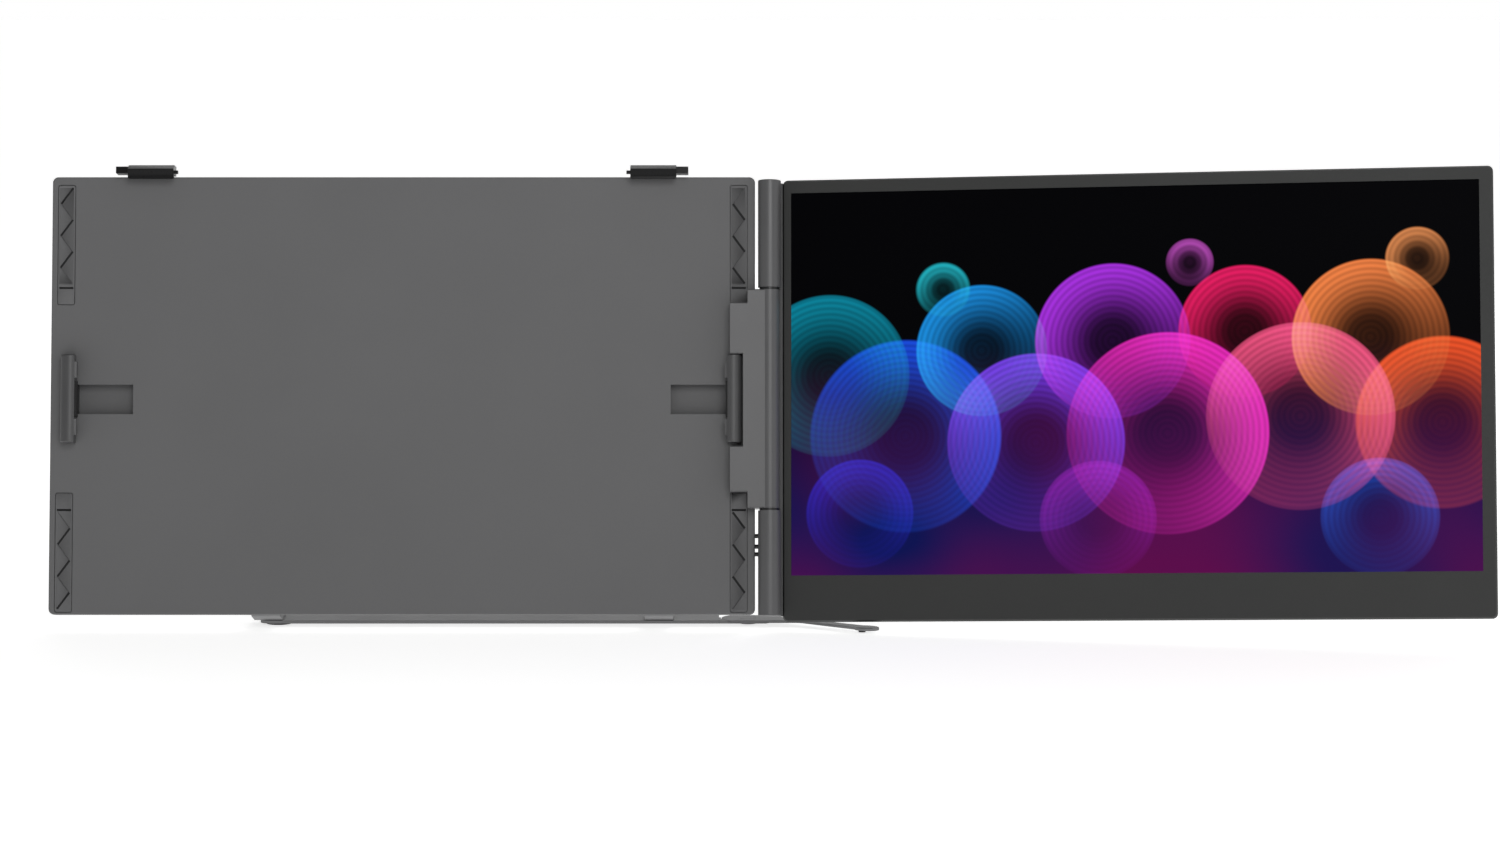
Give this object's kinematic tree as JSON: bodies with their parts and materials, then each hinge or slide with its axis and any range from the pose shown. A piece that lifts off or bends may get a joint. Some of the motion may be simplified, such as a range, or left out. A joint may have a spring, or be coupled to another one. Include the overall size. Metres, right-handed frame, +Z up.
{
  "type": "portable monitor",
  "caption": "Portable monitor hinged to a flat bracket that clamps behind another panel, with side jaws, top hooks, a fold-out base and a swing-out leg.",
  "frame": {"origin": "centre of the underside of the rubber foot below the leg's pivot, on the table", "axes": "+X towards the monitor's free edge, -Y towards the viewer, +Z up"},
  "size_m": [0.8, 0.1783, 0.2609],
  "materials": {
    "shell_grey": "matte",
    "hinge_grey": "satin",
    "grip_rubber": "matte",
    "jaw_grey": "satin",
    "jaw_black": "satin",
    "pad_rubber": "matte",
    "screw_steel": "satin",
    "bare_steel": "satin",
    "black_steel": "satin",
    "base_steel": "satin",
    "foot_rubber": "matte",
    "gear_plastic": "satin",
    "bezel_black": "satin",
    "screen_glass": "satin",
    "diffuser_white": "matte",
    "bare_aluminium": "satin",
    "cover_grey": "matte",
    "bush_acetal": "satin",
    "board_green": "satin",
    "socket_steel": "satin",
    "switch_black": "satin",
    "ribbon_orange": "satin",
    "button_black": "satin"
  },
  "bodies": {
    "bracket": {"bracket_front_shell": "shell_grey", "bracket_rear_cover": "shell_grey", "bracket_screws": "screw_steel", "grip_strip_upper_left": "grip_rubber", "grip_strip_upper_right": "grip_rubber", "grip_strip_lower_left": "grip_rubber", "grip_strip_lower_right": "grip_rubber", "hinge_arm": "hinge_grey", "backing_plates": "bare_steel", "arm_screws": "screw_steel", "hinge_shaft": "bare_steel", "friction_washers": "bare_steel", "hinge_nut": "bare_steel", "pinion_post": "bare_steel", "pinion_spring": "bare_steel", "rack_guides": "gear_plastic", "hook_guides": "gear_plastic", "base_hinge_blocks": "black_steel", "base_hinge_pins": "bare_steel"},
    "clamp_left": {"jaw_left": "jaw_grey", "jaw_pad_left": "pad_rubber", "rack_left": "gear_plastic", "jaw_screws_left": "screw_steel"},
    "clamp_right": {"jaw_right": "jaw_grey", "jaw_pad_right": "pad_rubber", "rack_right": "gear_plastic", "jaw_screws_right": "screw_steel"},
    "pinion": {"pinion": "gear_plastic"},
    "top_hook_left": {"hook_left": "jaw_black", "hook_pad_left": "pad_rubber"},
    "top_hook_right": {"hook_right": "jaw_black", "hook_pad_right": "pad_rubber"},
    "base": {"base_plate": "base_steel", "base_hinge_arms": "base_steel", "base_rivets": "bare_steel", "base_feet": "foot_rubber", "pivot_foot": "foot_rubber", "leg_rivet": "bare_steel"},
    "leg": {"swing_leg": "base_steel", "leg_foot": "foot_rubber"},
    "monitor": {"front_bezel": "bezel_black", "lcd_panel": "screen_glass", "backlight_unit": "diffuser_white", "backlight_tray": "bare_aluminium", "rear_cover": "cover_grey", "rear_screws": "screw_steel", "spine_upper": "hinge_grey", "spine_lower": "hinge_grey", "knuckle_cover": "hinge_grey", "hinge_bushes": "bush_acetal", "barrel_caps": "hinge_grey", "main_board": "board_green", "port_sockets": "socket_steel", "button_board": "board_green", "key_switches": "switch_black", "speakers": "switch_black", "display_cable": "ribbon_orange"},
    "power": {"button_power": "button_black"},
    "plus": {"button_plus": "button_black"},
    "minus": {"button_minus": "button_black"}
  },
  "joints": [
    {"name": "monitor_swing", "type": "hinge", "parent": "bracket", "child": "monitor", "pos_m": [0.012, -0.01603, 0.12953], "axis": [0, -0.1678, -0.9858], "range_deg": [-9.9, 170]},
    {"name": "base_fold", "type": "hinge", "parent": "bracket", "child": "base", "pos_m": [-0.16, -0.02367, 0.01012], "axis": [1, 0, 0], "range_deg": [0, 80]},
    {"name": "leg_swing", "type": "hinge", "parent": "base", "child": "leg", "pos_m": [0, 0, 0.0021], "axis": [0, 0, 1], "range_deg": [0, 125]},
    {"name": "jaw_left_slide", "type": "slide", "parent": "bracket", "child": "clamp_left", "axis": [1, 0, 0], "range_m": [-0.0005, 0.033]},
    {"name": "jaw_right_slide", "type": "slide", "parent": "bracket", "child": "clamp_right", "axis": [-1, 0, 0], "range_m": [-0.0005, 0.033]},
    {"name": "pinion_turn", "type": "hinge", "parent": "bracket", "child": "pinion", "pos_m": [-0.194, -0.00697, 0.12733], "axis": [0, 0.9858, -0.1678], "range_deg": [-3.58, 236.34]},
    {"name": "hook_left_slide", "type": "slide", "parent": "bracket", "child": "top_hook_left", "axis": [0, 0.1678, 0.9858], "range_m": [0, 0.015]},
    {"name": "hook_right_slide", "type": "slide", "parent": "bracket", "child": "top_hook_right", "axis": [0, 0.1678, 0.9858], "range_m": [0, 0.015]},
    {"name": "power_press", "type": "slide", "parent": "monitor", "child": "power", "axis": [0.985, -0.17, 0.0289], "range_m": [0, 0.0008], "stiffness_N_per_m": 500, "springref_m": -0.001},
    {"name": "plus_press", "type": "slide", "parent": "monitor", "child": "plus", "axis": [0.985, -0.17, 0.0289], "range_m": [0, 0.0008], "stiffness_N_per_m": 500, "springref_m": -0.001},
    {"name": "minus_press", "type": "slide", "parent": "monitor", "child": "minus", "axis": [0.985, -0.17, 0.0289], "range_m": [0, 0.0008], "stiffness_N_per_m": 500, "springref_m": -0.001}
  ],
  "couplings": [
    {"joint": "jaw_right_slide", "follows": "jaw_left_slide", "ratio": 1},
    {"joint": "pinion_turn", "follows": "jaw_left_slide", "rad_per_m": 125}
  ]
}
